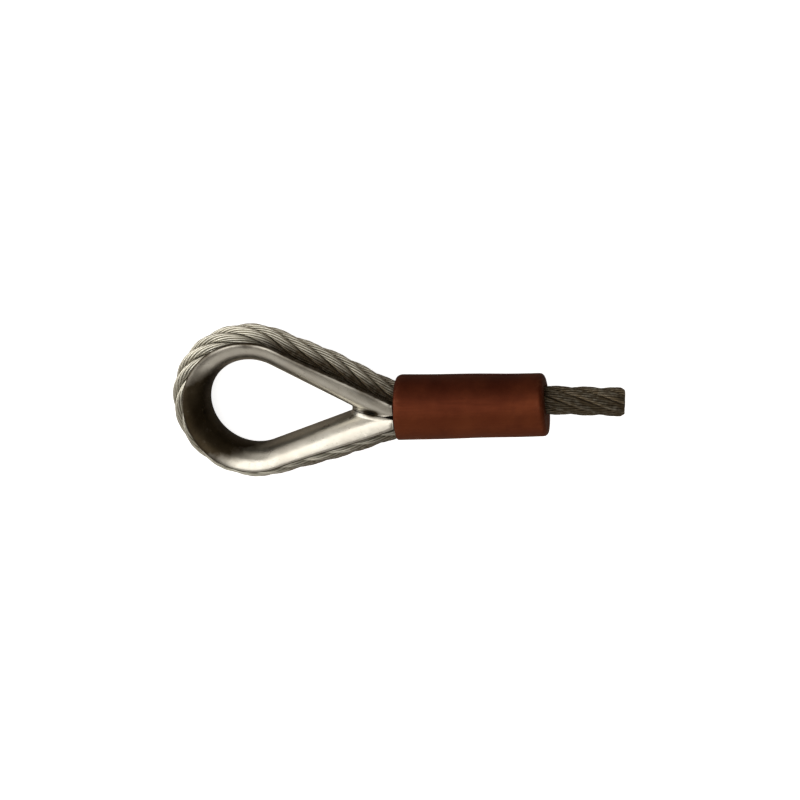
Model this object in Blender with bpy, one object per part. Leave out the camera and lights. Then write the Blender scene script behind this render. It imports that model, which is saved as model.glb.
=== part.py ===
"""Ferrule-secured thimble eye on a short length of steel-cored wire rope.

The rope lies whole along its route: from the cut end of the stub, through the ferrule, round the
thimble and back to the end of the tail inside the ferrule. Its six outer strands and the seven
strands of its core are separate solids. They are drawn in rope space (distance along the route,
inward offset, upward offset) and bent and pressed into place together, so they stay clear.

Frame: the eye lies flat. +X runs along the ferrule towards the cut end, +Y across the eye towards
the live leg, +Z up. Shapes are worked out with the middle of the ferrule's mouth as origin, then
moved so that the origin is at the bottom centre of the whole object.
"""

import math

import bpy
import numpy as np

# Driving sizes, in metres
ROPE_DIA = 0.010
EYE_WIDTH = 0.0313
THIMBLE_WIDTH = 0.0184
THIMBLE_SHEET = 0.0020
FERRULE_LENGTH = 0.0516
FERRULE_WALL = 0.00065
STUB_LENGTH = 0.0266
STUB_DROP = 0.0013

# Clearances, in metres
STRAND_GAP = 0.0003
GROOVE_GAP = 0.0004
CHANNEL_GAP = 0.0003
THIMBLE_BUTT_GAP = 0.0003
THIMBLE_TO_FERRULE = 0.0005

# Angles, in degrees
THIMBLE_HALF_ANGLE = 24.5
EYE_LEAN = 5.0

# Rope make-up, as multiples of the rope's diameter
OUTER_LAY = 6.0
CORE_LAY = 3.2
STRANDS_ROUND = 6

# Where the two legs lie and bend in the ferrule, as multiples of the rope's diameter
LIVE_OFFSET = 0.39
LIVE_BEND_RADIUS = 2.0
LIVE_BEND_END = 0.44
TAIL_OFFSET = 0.45
TAIL_BEND_RADIUS = 4.0
TAIL_BEND_END = 1.0
TAIL_SETBACK = 0.95
CROSSOVER = 1.35
EXIT_OFFSET = 0.16
APEX_TO_MOUTH = 1.311
APEX_OFFSET = 0.028
CROWN_SLACK = 0.104
LIVE_BOW = 0.08
TAIL_BOW = 0.06

# How swaging presses the legs: narrower across the pair, taller out of its plane
PRESS_ACROSS = 0.22
PRESS_UP = 0.18
PRESS_START = -0.25
PRESS_RUN = 0.95
RELEASE_RUN = 0.85

# Ferrule form
MOUTH_SHRINK = 0.00075
MOUTH_SHIFT = 0.00065
MOUTH_RUN = 0.0022
OUTLET_ROUND = 0.0013
OUTLET_SKEW = 0.05
FERRULE_TAPER = 0.0006

# Thimble form
TIP_ROUND = 0.00175
RIM_CROWN = 0.0005

# How finely curves are drawn
ROUTE_STEP = 0.0045
DENSE_STEP = 0.00025
STRAND_SIDES = 8
CORE_SIDES = 5
KING_SIDES = 6
CHANNEL_SIDES = 24
CHANNEL_STEP = 0.003
FERRULE_SIDES = 40
END_ROUND_STEPS = 4
PROFILE_STEPS = 12
LIP_STEPS = 2
CROWN_STEPS = 30
LEG_STEPS = 4
TIP_STEPS = 4
RING_PASSES = 6
SHARP_ANGLE = 50.0

# Sizes that follow from the driving ones
ROPE_R = ROPE_DIA / 2
GROOVE_R = ROPE_R + GROOVE_GAP
BACK_R = GROOVE_R + THIMBLE_SHEET
HALF_WIDTH = THIMBLE_WIDTH / 2
EYE_R = EYE_WIDTH / 2
SEAT_R = EYE_R + BACK_R
HALF_ANGLE = math.radians(THIMBLE_HALF_ANGLE)
LEAN = math.radians(EYE_LEAN)
TAIL_END_X = FERRULE_LENGTH - TAIL_SETBACK * ROPE_DIA
APEX = np.array([-APEX_TO_MOUTH, APEX_OFFSET]) * ROPE_DIA
EYE_AXIS = np.array([math.cos(LEAN), -math.sin(LEAN)])
EYE_NORMAL = np.array([math.sin(LEAN), math.cos(LEAN)])
CROWN_CENTRE = APEX - EYE_AXIS * EYE_R / math.sin(HALF_ANGLE)
CHANNEL_R = ROPE_R + CHANNEL_GAP


def clear_scene():
    """Remove whatever the scene holds."""
    for thing in list(bpy.data.objects):
        bpy.data.objects.remove(thing, do_unlink=True)


def ease(t):
    """Smooth step from 0 to 1 as t goes from 0 to 1."""
    t = np.clip(t, 0.0, 1.0)
    return t * t * (3.0 - 2.0 * t)


def laid_ring(reach, lay):
    """Radius and centre circle of the round strands that fill a ring of this reach.

    Strands whose centres lie on a circle of radius c sit 2 c sin(pi/n) apart, and the lay widens
    each one's cut across the rope by 1 / cos(lay angle).
    """
    chord = 2 * math.sin(math.pi / STRANDS_ROUND)
    radius = reach / 3
    for _ in range(RING_PASSES):
        stretch = math.hypot(1.0, 2 * math.pi * (reach - radius) / lay)
        radius = (reach * chord - STRAND_GAP) / (chord + 2 * stretch)
    return radius, reach - radius


def strand_sizes():
    """Radii and centre circles of the outer strands, the core's strands and its king strand."""
    outer_r, outer_c = laid_ring(ROPE_R, OUTER_LAY * ROPE_DIA)
    core_r, core_c = laid_ring(outer_c - outer_r - STRAND_GAP, CORE_LAY * ROPE_DIA)
    king_r = core_c - core_r - STRAND_GAP
    return outer_r, outer_c, core_r, core_c, king_r


def leg_angle(bend_centre, bend_radius, side):
    """Slope of the leg that touches the crown's circle and, on its other side, the bend's circle."""
    run = bend_centre[0] - CROWN_CENTRE[0]
    rise = side * (bend_centre[1] - CROWN_CENTRE[1])
    reach = math.hypot(run, rise)
    return math.asin((SEAT_R + bend_radius) / reach) - math.atan2(rise, run)


def arc(centre, radius, start, end):
    """Points of a flat arc, a dense step apart."""
    count = max(4, int(abs(end - start) * radius / DENSE_STEP))
    t = np.linspace(start, end, count)
    return np.c_[centre[0] + radius * np.cos(t), centre[1] + radius * np.sin(t)]


def straight(start, end):
    """Points of a straight stretch, a dense step apart."""
    count = max(4, int(np.linalg.norm(np.subtract(end, start)) / DENSE_STEP))
    t = np.linspace(0.0, 1.0, count)[:, None]
    return np.array(start) * (1 - t) + np.array(end) * t


def bowed(start, end, bow):
    """Points of a leg that stands off the straight line to its right by the bow in its middle."""
    points = straight(start, end)
    along = (points[-1] - points[0]) / np.linalg.norm(points[-1] - points[0])
    t = np.linspace(0.0, 1.0, len(points))[:, None]
    return points + np.array([along[1], -along[0]]) * bow * ROPE_DIA * np.sin(math.pi * t) ** 2


def crossover(start, end, start_slope, end_slope):
    """Cubic from start to end with the given dy/dx at each."""
    t = np.linspace(0.0, 1.0, int(abs(end[0] - start[0]) / DENSE_STEP))
    run = end[0] - start[0]
    y = start[1] * (2 * t**3 - 3 * t**2 + 1) + end[1] * (3 * t**2 - 2 * t**3)
    y += run * start_slope * (t**3 - 2 * t**2 + t) + run * end_slope * (t**3 - t**2)
    return np.c_[start[0] + run * t, y]


def crown(start, end):
    """The rope's arc over the thimble, standing a little off its seat at the far end."""
    count = int((end - start) * SEAT_R / DENSE_STEP)
    t = np.linspace(start, end, count)
    off = CROWN_SLACK * ROPE_DIA * np.maximum(0.0, np.cos(t - (math.pi - LEAN))) ** 2
    return CROWN_CENTRE + (SEAT_R + off)[:, None] * np.c_[np.cos(t), np.sin(t)]


def route_points():
    """The rope's centre line from the cut end to the end of the tail, in the mouth's frame."""
    slope = -STUB_DROP / STUB_LENGTH
    cut_end = (FERRULE_LENGTH + STUB_LENGTH, EXIT_OFFSET * ROPE_DIA - STUB_DROP)
    outlet = (FERRULE_LENGTH, EXIT_OFFSET * ROPE_DIA)
    live_y = LIVE_OFFSET * ROPE_DIA
    inside = (FERRULE_LENGTH - CROSSOVER * ROPE_DIA, live_y)
    live_r = LIVE_BEND_RADIUS * ROPE_DIA
    live_bend = (LIVE_BEND_END * ROPE_DIA, live_y + live_r)
    live_angle = leg_angle(live_bend, live_r, 1)
    tail_y = -TAIL_OFFSET * ROPE_DIA
    tail_r = TAIL_BEND_RADIUS * ROPE_DIA
    tail_bend = (TAIL_BEND_END * ROPE_DIA, tail_y - tail_r)
    tail_angle = leg_angle(tail_bend, tail_r, -1)
    bend_in = arc(live_bend, live_r, 1.5 * math.pi, 1.5 * math.pi - live_angle)
    bend_out = arc(tail_bend, tail_r, 0.5 * math.pi + tail_angle, 0.5 * math.pi)
    over = crown(0.5 * math.pi - live_angle, 1.5 * math.pi + tail_angle)
    pieces = [
        straight(cut_end, outlet),
        crossover(outlet, inside, slope, 0.0),
        straight(inside, (live_bend[0], live_y)),
        bend_in,
        bowed(bend_in[-1], over[0], LIVE_BOW),
        over,
        bowed(over[-1], bend_out[0], TAIL_BOW),
        bend_out,
        straight((tail_bend[0], tail_y), (TAIL_END_X, tail_y)),
    ]
    points = np.vstack(pieces)
    moved = np.linalg.norm(np.diff(points, axis=0), axis=1) > 1e-9
    return points[np.r_[True, moved]]


def swage(x, live):
    """How far the legs are pressed at x: 0 outside the ferrule, 1 in its middle."""
    pressed = ease((x / ROPE_DIA - PRESS_START) / PRESS_RUN)
    released = ease((x - TAIL_END_X) / (RELEASE_RUN * ROPE_DIA))
    return pressed * np.where(live, 1.0 - released, 1.0)


def stations(step):
    """Places along the route: distance, centre, inward direction, and the press there."""
    points = route_points()
    along = np.r_[0.0, np.cumsum(np.linalg.norm(np.diff(points, axis=0), axis=1))]
    count = int(round(along[-1] / step)) + 1
    s = np.linspace(0.0, along[-1], count)
    centre = np.c_[np.interp(s, along, points[:, 0]), np.interp(s, along, points[:, 1])]
    reach = 2 * DENSE_STEP
    ahead = np.clip(s + reach, 0.0, along[-1])
    behind = np.clip(s - reach, 0.0, along[-1])
    tangent = np.c_[
        np.interp(ahead, along, points[:, 0]) - np.interp(behind, along, points[:, 0]),
        np.interp(ahead, along, points[:, 1]) - np.interp(behind, along, points[:, 1]),
    ]
    tangent /= np.linalg.norm(tangent, axis=1)[:, None]
    inward = np.c_[-tangent[:, 1], tangent[:, 0]]
    press = swage(centre[:, 0], s < along[-1] / 2)
    return s, centre, inward, press


def into_place(centre, inward, press, across, up):
    """Rope-space offsets at each station, pressed and bent to their place in the mouth's frame."""
    across = across * (1 - PRESS_ACROSS * press)[:, None]
    up = up * (1 + PRESS_UP * press)[:, None]
    flat = centre[:, None, :] + inward[:, None, :] * across[:, :, None]
    return np.concatenate([flat, up[:, :, None]], axis=2)


def loft(rings):
    """One closed body from rings of points, joined in order, with a flat cap at each end."""
    count, sides = rings.shape[:2]
    verts = rings.reshape(-1, 3)
    i, j = np.meshgrid(np.arange(count - 1), np.arange(sides), indexing="ij")
    k = (j + 1) % sides
    quads = np.stack([i * sides + j, i * sides + k, (i + 1) * sides + k, (i + 1) * sides + j], 2)
    faces = quads.reshape(-1, 4).tolist()
    faces.append(list(range(sides - 1, -1, -1)))
    faces.append(list(range((count - 1) * sides, count * sides)))
    return verts, faces


def laid_strand(radius, circle, lay, turn, sides):
    """A right-hand laid strand: a tube whose centre winds round the rope's centre line.

    The helix angle at distance s is turn + 2 pi s / lay. The tube's cut across the rope is an
    ellipse, longer round the rope by 1 / cos(lay angle).
    """
    s, centre, inward, press = stations(ROUTE_STEP)
    angle = (turn + 2 * math.pi * s / lay)[:, None]
    around = np.linspace(0.0, 2 * math.pi, sides, endpoint=False)[None, :]
    stretch = math.hypot(1.0, 2 * math.pi * circle / lay)
    out = circle + radius * np.cos(around)
    round_way = radius * stretch * np.sin(around)
    across = out * np.cos(angle) - round_way * np.sin(angle)
    up = out * np.sin(angle) + round_way * np.cos(angle)
    return loft(into_place(centre, inward, press, across, up))


def rope_pieces():
    """Every strand of the rope: six outer ones, six round the core, and the king strand."""
    outer_r, outer_c, core_r, core_c, king_r = strand_sizes()
    pieces = {}
    for i in range(STRANDS_ROUND):
        turn = 2 * math.pi * i / STRANDS_ROUND
        outer = laid_strand(outer_r, outer_c, OUTER_LAY * ROPE_DIA, turn, STRAND_SIDES)
        pieces[f"strand_{i + 1}"] = outer
    for i in range(STRANDS_ROUND):
        turn = 2 * math.pi * i / STRANDS_ROUND
        inner = laid_strand(core_r, core_c, CORE_LAY * ROPE_DIA, turn, CORE_SIDES)
        pieces[f"core_strand_{i + 1}"] = inner
    pieces["core_king"] = laid_strand(king_r, 0.0, CORE_LAY * ROPE_DIA, 0.0, KING_SIDES)
    return pieces


def thimble_profile():
    """The U section as (distance out from the eye's inner face, height), back first, then groove.

    Back and groove are half ellipses about one centre. The groove is as deep as the rope needs and
    wider than the rope. Each rim is a low arc across the sheet.
    """
    t = np.linspace(-0.5 * math.pi, 0.5 * math.pi, PROFILE_STEPS + 1)
    groove_half = HALF_WIDTH - THIMBLE_SHEET
    back = np.c_[BACK_R - BACK_R * np.cos(t), HALF_WIDTH * np.sin(t)]
    groove = np.c_[BACK_R - GROOVE_R * np.cos(t[::-1]), groove_half * np.sin(t[::-1])]
    bow = np.linspace(0.0, math.pi, LIP_STEPS + 2)[1:-1]
    height = HALF_WIDTH - THIMBLE_SHEET / 2 * (1 - np.cos(bow))
    upper = np.c_[BACK_R + RIM_CROWN * np.sin(bow), height]
    lower = upper[::-1] * (1, -1)
    return np.vstack([back, upper, groove, lower])


def leg_rings(profile, side):
    """The thimble's leg from the crown to its pointed end, ring by ring.

    Each point of the section runs straight along the leg until it meets the middle plane of the
    eye or stops short of the ferrule. On the back, the last stretch rounds the tip of the eye.
    """
    leg = EYE_AXIS * math.cos(HALF_ANGLE) - side * EYE_NORMAL * math.sin(HALF_ANGLE)
    out = EYE_AXIS * math.sin(HALF_ANGLE) + side * EYE_NORMAL * math.cos(HALF_ANGLE)
    start = CROWN_CENTRE + out * (EYE_R + profile[:, :1])
    height = side * ((start - CROWN_CENTRE) @ EYE_NORMAL) - THIMBLE_BUTT_GAP / 2
    to_middle = height / math.sin(HALF_ANGLE)
    to_ferrule = (-THIMBLE_TO_FERRULE - start[:, 0]) / leg[0]
    on_back = np.arange(len(profile)) <= PROFILE_STEPS
    lead = TIP_ROUND / math.tan(HALF_ANGLE)
    bend_at = np.where(on_back & (to_middle < to_ferrule), to_middle - lead, to_middle)
    bend_at = np.minimum(bend_at, to_ferrule)
    rings = []
    for t in np.linspace(0.0, 1.0, LEG_STEPS + 1)[1:]:
        rings.append(start + leg * (t * bend_at)[:, None])
    turn = math.pi / 2 - HALF_ANGLE
    rounded = bend_at < np.minimum(to_middle, to_ferrule)
    for t in np.linspace(0.0, 1.0, TIP_STEPS + 1)[1:]:
        ahead = TIP_ROUND * math.sin(t * turn)
        inward = TIP_ROUND * (1 - math.cos(t * turn))
        rings.append(rings[LEG_STEPS - 1] + np.outer(rounded, leg * ahead - out * inward))
    return rings


def thimble_piece():
    """The thimble: one strip of U section bent round the eye, its two ends almost meeting."""
    profile = thimble_profile()
    crest = 0.5 * math.pi - HALF_ANGLE
    angles = np.linspace(crest, 2 * math.pi - crest, CROWN_STEPS + 1) - LEAN
    rings = []
    for angle in angles:
        ray = np.array([math.cos(angle), math.sin(angle)])
        rings.append(CROWN_CENTRE + ray * (EYE_R + profile[:, :1]))
    rings = leg_rings(profile, 1)[::-1] + rings + leg_rings(profile, -1)
    flat = np.array(rings)
    heights = np.broadcast_to(profile[:, 1], flat.shape[:2])
    return open_strip(np.concatenate([flat, heights[:, :, None]], axis=2))


def open_strip(rings):
    """One closed body from rings of a U section, with each end closed across its wall."""
    verts, faces = loft(rings)
    faces = faces[:-2]
    count, sides = rings.shape[:2]
    last = (count - 1) * sides
    groove = sides - LIP_STEPS - 1
    lip = list(range(PROFILE_STEPS + 1, PROFILE_STEPS + 1 + LIP_STEPS))
    far_lip = list(range(groove + 1, sides))
    ladder = [(i, i + 1, groove - i - 1, groove - i) for i in range(PROFILE_STEPS)]
    ladder.append((PROFILE_STEPS, *lip, lip[-1] + 1))
    ladder.append((groove, *far_lip, 0))
    for face in ladder:
        faces.append(list(face[::-1]))
        faces.append([last + v for v in face])
    return verts, faces


def ferrule_radius():
    """The ferrule's radius at its mouth: the bundle's reach there, its clearance and the wall."""
    _, centre, inward, press = stations(DENSE_STEP)
    near = np.abs(centre[:, 0]) < CHANNEL_STEP
    reach = np.abs(centre[:, 1]) + CHANNEL_R * (1 - PRESS_ACROSS * press)
    return reach[near & (centre[:, 0] >= 0)].max() + FERRULE_WALL


def ferrule_body():
    """The ferrule's outside: a slightly tapered round bar with its mouth rounded to one side."""
    mouth_r = ferrule_radius()
    around = np.linspace(0.0, 2 * math.pi, FERRULE_SIDES, endpoint=False)
    rounding = np.linspace(0.0, 0.5 * math.pi, END_ROUND_STEPS + 1)
    rows = []
    for t in rounding:
        rows.append((MOUTH_RUN * (1 - math.cos(t)), 1 - math.sin(t), 0.0, 0.0))
    for t in rounding[::-1]:
        x = FERRULE_LENGTH - OUTLET_ROUND * (1 - math.cos(t))
        rows.append((x, 0.0, 1 - math.sin(t), OUTLET_SKEW))
    rings = []
    for x, mouth, outlet, skew in rows:
        taper = FERRULE_TAPER * x / FERRULE_LENGTH
        radius = mouth_r - taper - MOUTH_SHRINK * mouth - OUTLET_ROUND * outlet
        y = radius * np.cos(around) - MOUTH_SHIFT * mouth
        rings.append(np.c_[x - skew * y, y, radius * np.sin(around)])
    return loft(np.array(rings))


def channel(live):
    """The way one leg takes through the ferrule, wider than the leg by the clearance."""
    s, centre, inward, press = stations(DENSE_STEP)
    half = s < s[-1] / 2
    low, high = -CHANNEL_STEP, FERRULE_LENGTH + CHANNEL_STEP
    if not live:
        half = ~half
        high = TAIL_END_X
    inside = np.flatnonzero(half & (centre[:, 0] > low) & (centre[:, 0] <= high))
    count = int((high - low) / CHANNEL_STEP) + 1
    pick = inside[np.linspace(0, len(inside) - 1, count).astype(int)]
    centre, inward, press = centre[pick], inward[pick], press[pick]
    if not live:
        centre[-1, 0] += CHANNEL_GAP
    around = np.linspace(0.0, 2 * math.pi, CHANNEL_SIDES, endpoint=False)
    across = np.broadcast_to(CHANNEL_R * np.cos(around), (count, CHANNEL_SIDES))
    up = np.broadcast_to(CHANNEL_R * np.sin(around), (count, CHANNEL_SIDES))
    return loft(into_place(centre, inward, press, across, up))


def finish(name, colour, metallic, roughness):
    """A Principled material for one piece."""
    material = bpy.data.materials.new(name)
    material.use_nodes = True
    shader = material.node_tree.nodes["Principled BSDF"]
    shader.inputs["Base Color"].default_value = (*colour, 1.0)
    shader.inputs["Metallic"].default_value = metallic
    shader.inputs["Roughness"].default_value = roughness
    return material


def add_solid(name, piece, shift, look):
    """Make one piece's object, in place, smooth where its faces turn gently."""
    verts, faces = piece
    mesh = bpy.data.meshes.new(name)
    mesh.from_pydata((verts + shift).tolist(), [], faces)
    mesh.validate()
    mesh.shade_smooth()
    mesh.set_sharp_from_angle(angle=math.radians(SHARP_ANGLE))
    mesh.materials.append(finish(name, *look))
    solid = bpy.data.objects.new(name, mesh)
    bpy.context.scene.collection.objects.link(solid)
    return solid


def cut(solid, name, piece, shift):
    """Take a channel out of a solid."""
    verts, faces = piece
    mesh = bpy.data.meshes.new(name)
    mesh.from_pydata((verts + shift).tolist(), [], faces)
    cutter = bpy.data.objects.new(name, mesh)
    bpy.context.scene.collection.objects.link(cutter)
    cutter.hide_render = True
    cutter.display_type = "WIRE"
    boolean = solid.modifiers.new(name, "BOOLEAN")
    boolean.operation = "DIFFERENCE"
    boolean.solver = "EXACT"
    boolean.object = cutter


def build():
    """Make every piece, with the origin at the bottom centre of the whole object."""
    pieces = rope_pieces()
    pieces["thimble"] = thimble_piece()
    pieces["ferrule"] = ferrule_body()
    everything = np.vstack([piece[0] for piece in pieces.values()])
    low, high = everything.min(axis=0), everything.max(axis=0)
    shift = -np.array([(low[0] + high[0]) / 2, (low[1] + high[1]) / 2, low[2]])
    zinc = ((0.48, 0.46, 0.42), 1.0, 0.34)
    bright_wire = ((0.30, 0.28, 0.24), 1.0, 0.42)
    core_wire = ((0.20, 0.18, 0.15), 1.0, 0.5)
    browned_copper = ((0.17, 0.04, 0.022), 0.8, 0.5)
    looks = {"thimble": zinc, "ferrule": browned_copper}
    clear_scene()
    for name, piece in pieces.items():
        look = looks.get(name, core_wire if name.startswith("core") else bright_wire)
        solid = add_solid(name, piece, shift, look)
        if name == "ferrule":
            cut(solid, "live_channel", channel(True), shift)
            cut(solid, "tail_channel", channel(False), shift)


build()
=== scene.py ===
# %% [markdown]
# # A swaged thimble eye in wire rope
# The object is the end of a steel wire rope, turned back round a pressed steel thimble and gripped
# by a swaged ferrule. The imported CAD model gives every size and place; this file gives the fine
# surfaces, the finishes and the studio. The first step loads that model.

# %% Load the frame
import math
import bmesh
import bpy
import numpy as np
from mathutils import Matrix, Vector


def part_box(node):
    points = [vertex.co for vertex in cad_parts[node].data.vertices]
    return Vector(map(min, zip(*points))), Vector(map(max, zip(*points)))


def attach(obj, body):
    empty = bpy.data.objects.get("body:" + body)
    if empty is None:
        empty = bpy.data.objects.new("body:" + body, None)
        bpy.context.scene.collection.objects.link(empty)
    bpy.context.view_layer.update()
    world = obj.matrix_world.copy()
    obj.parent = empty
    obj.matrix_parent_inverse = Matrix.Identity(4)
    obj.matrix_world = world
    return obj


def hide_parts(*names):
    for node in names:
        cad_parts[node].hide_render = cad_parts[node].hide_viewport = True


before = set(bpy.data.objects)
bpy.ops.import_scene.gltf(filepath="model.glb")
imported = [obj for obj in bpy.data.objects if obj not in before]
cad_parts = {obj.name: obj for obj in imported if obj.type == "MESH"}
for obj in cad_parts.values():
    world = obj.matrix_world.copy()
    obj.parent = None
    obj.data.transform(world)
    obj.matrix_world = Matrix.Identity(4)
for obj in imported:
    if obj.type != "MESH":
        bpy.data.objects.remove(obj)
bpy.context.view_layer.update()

# %% [markdown]
# ## Sizes
# A rigger thinks of such an eye from the middle of the ferrule's mouth, where the two legs of the
# rope go in. So that point is the origin of every formula below, with x along the ferrule towards
# the cut end, y across the eye and z up out of it. The ferrule's own box gives the point and the
# ferrule's radius; its length is given. The thimble's box gives how wide its U section is.

# %% Sizes from the frame
ferrule_low, ferrule_high = (np.array(corner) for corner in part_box("ferrule"))
thimble_low, thimble_high = (np.array(corner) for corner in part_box("thimble"))
MOUTH = (ferrule_low + ferrule_high) / 2
MOUTH[0] = ferrule_low[0]
FERRULE_LENGTH, FERRULE_R = 0.0516, (ferrule_high[1] - ferrule_low[1]) / 2
ROPE_DIA = 0.010
ROPE_R = ROPE_DIA / 2
HALF_WIDTH = (thimble_high[2] - thimble_low[2]) / 2
GROOVE_R, SHEET = 0.0054, 0.0020
BACK_R = GROOVE_R + SHEET
EYE_R = 0.01565
HALF_ANGLE, LEAN = math.radians(24.5), math.radians(5.0)
EYE_AXIS = np.array([math.cos(LEAN), -math.sin(LEAN)])
EYE_NORMAL = np.array([math.sin(LEAN), math.cos(LEAN)])
APEX = np.array([-0.01311, 0.00028])
CROWN_CENTRE = APEX - EYE_AXIS * EYE_R / math.sin(HALF_ANGLE)
SEAT_R = EYE_R + BACK_R
print("ferrule radius and length, mm:", round(1000 * FERRULE_R, 2), round(1000 * FERRULE_LENGTH, 2))
print("crown reaches x =", round(1000 * (MOUTH[0] + CROWN_CENTRE[0] - EYE_R), 2),
      "thimble box starts at", round(1000 * thimble_low[0], 2))

# %% [markdown]
# ## From arrays to a mesh
# Each surface here is worked out as one numpy array of points: rings along a path, with the same
# number of points round each ring. Blender could be given such points one by one, but filling
# whole buffers with foreach_set is far faster and keeps the maths and the mesh apart. The helper
# takes any number of tubes at once, because a strand is nineteen wires in one mesh. A tube's ends
# are closed with one flat face each.

# %% A mesh from rings of points
def tube_mesh(name, tubes, marks=None):
    """A mesh of closed tubes from points[tube, ring, side, xyz], with named values at each point.

    Face (i, j) of a tube joins points (i, j), (i, j+1), (i+1, j+1), (i+1, j), where j wraps round.
    """
    count, rings, sides = tubes.shape[:3]
    i, j = np.meshgrid(np.arange(rings - 1), np.arange(sides), indexing="ij")
    k = (j + 1) % sides
    quad = np.stack([i * sides + j, i * sides + k, (i + 1) * sides + k, (i + 1) * sides + j], 2)
    first = np.arange(sides)[::-1]
    last = (rings - 1) * sides + np.arange(sides)
    loops = np.concatenate([quad.ravel(), first, last])
    sizes = np.concatenate([np.full(quad.size // 4, 4), [sides, sides]])
    offset = (np.arange(count) * rings * sides)[:, None]
    loops = (loops[None, :] + offset).ravel()
    sizes = np.tile(sizes, count)
    mesh = bpy.data.meshes.new(name)
    mesh.vertices.add(count * rings * sides)
    mesh.vertices.foreach_set("co", tubes.astype(np.float32).ravel())
    mesh.loops.add(len(loops))
    mesh.loops.foreach_set("vertex_index", loops.astype(np.int32))
    mesh.polygons.add(len(sizes))
    starts = np.concatenate([[0], np.cumsum(sizes)[:-1]])
    mesh.polygons.foreach_set("loop_start", starts.astype(np.int32))
    for label, values in (marks or {}).items():
        layer = mesh.attributes.new(label, "FLOAT", "POINT")
        layer.data.foreach_set("value", np.asarray(values, np.float32).ravel())
    mesh.update(calc_edges=True)
    mesh.validate()
    return mesh


def add_piece(mesh, nodes, finish, sharp=50):
    """Put a finished mesh in the scene in place of CAD nodes, riding on the one rigid body."""
    mesh.shade_smooth()
    mesh.set_sharp_from_angle(angle=math.radians(sharp))
    mesh.materials.append(finish)
    piece = bpy.data.objects.new(mesh.name, mesh)
    bpy.context.scene.collection.objects.link(piece)
    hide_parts(*nodes)
    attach(piece, "root")
    triangles = sum(len(face.vertices) - 2 for face in mesh.polygons)
    print(f"{mesh.name}: {triangles} triangles")
    return piece


def smooth_step(t):
    """0 below 0, 1 above 1, and 3t^2 - 2t^3 between."""
    t = np.clip(t, 0.0, 1.0)
    return t * t * (3.0 - 2.0 * t)

# %% [markdown]
# ## Working out the finishes
# A finish is a small tree of shader nodes. Most of them here mix two colours by a noise, so the
# next cell has short helpers: one makes a Principled material, one adds a node with its settings,
# and one lays a noise of a given grain in millimetres over Object coordinates, which stay with the
# metal however the object is turned. Values that are the same all over stay on the shader itself.

# %% Helpers for shader trees
def new_finish(name, metallic, roughness):
    """A material with its Principled shader, its node tree and a source of Object coordinates."""
    material = bpy.data.materials.new(name)
    material.use_nodes = True
    tree = material.node_tree
    shader = tree.nodes["Principled BSDF"]
    shader.inputs["Metallic"].default_value = metallic
    shader.inputs["Roughness"].default_value = roughness
    return material, tree, shader


def add_node(tree, kind, inputs=None, **settings):
    """A node of this kind, with plain settings, and inputs given as numbers or as other sockets."""
    node = tree.nodes.new(kind)
    for label, value in settings.items():
        setattr(node, label, value)
    for label, value in (inputs or {}).items():
        if isinstance(value, bpy.types.NodeSocket):
            tree.links.new(value, node.inputs[label])
        else:
            node.inputs[label].default_value = value
    return node


def grain(tree, size_mm, detail=4.0, stretch=(1, 1, 1), rough=0.55):
    """Noise whose blotches are about size_mm across, stretched along x, y or z if asked."""
    place = add_node(tree, "ShaderNodeTexCoord").outputs["Object"]
    turned = add_node(tree, "ShaderNodeMapping", {"Vector": place, "Scale": stretch})
    noise = add_node(tree, "ShaderNodeTexNoise", {
        "Vector": turned.outputs["Vector"], "Scale": 1000.0 / size_mm,
        "Detail": detail, "Roughness": rough})
    return noise.outputs["Fac"]


def ramp(tree, source, low, high, from_low=0.0, from_high=1.0):
    """A number carried from one range to another, held at its ends."""
    node = add_node(tree, "ShaderNodeMapRange", {
        "Value": source, "From Min": low, "From Max": high, "To Min": from_low, "To Max": from_high})
    return node.outputs["Result"]


def blend(tree, amount, first, second):
    """Colour first where amount is 0 and second where it is 1; either may be a socket."""
    node = add_node(tree, "ShaderNodeMix", data_type="RGBA")
    for slot, value in ((0, amount), (6, first), (7, second)):
        if isinstance(value, bpy.types.NodeSocket):
            tree.links.new(value, node.inputs[slot])
        else:
            node.inputs[slot].default_value = (*value, 1.0) if slot else value
    return node.outputs[2]


def times(tree, first, second, operation="MULTIPLY"):
    """Two numbers multiplied, or joined by another arithmetic operation."""
    node = add_node(tree, "ShaderNodeMath", {0: first, 1: second}, operation=operation)
    return node.outputs["Value"]


def mark(tree, label):
    """A number that the mesh carries at each point."""
    return add_node(tree, "ShaderNodeAttribute", attribute_name=label).outputs["Fac"]


def bumps(tree, shader, layers):
    """Lay height fields on each other: each layer is (height, depth in metres, strength)."""
    normal = None
    for height, depth, strength in layers:
        inputs = {"Height": height, "Distance": depth, "Strength": strength}
        if normal is not None:
            inputs["Normal"] = normal
        normal = add_node(tree, "ShaderNodeBump", inputs).outputs["Normal"]
    tree.links.new(normal, shader.inputs["Normal"])
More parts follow.
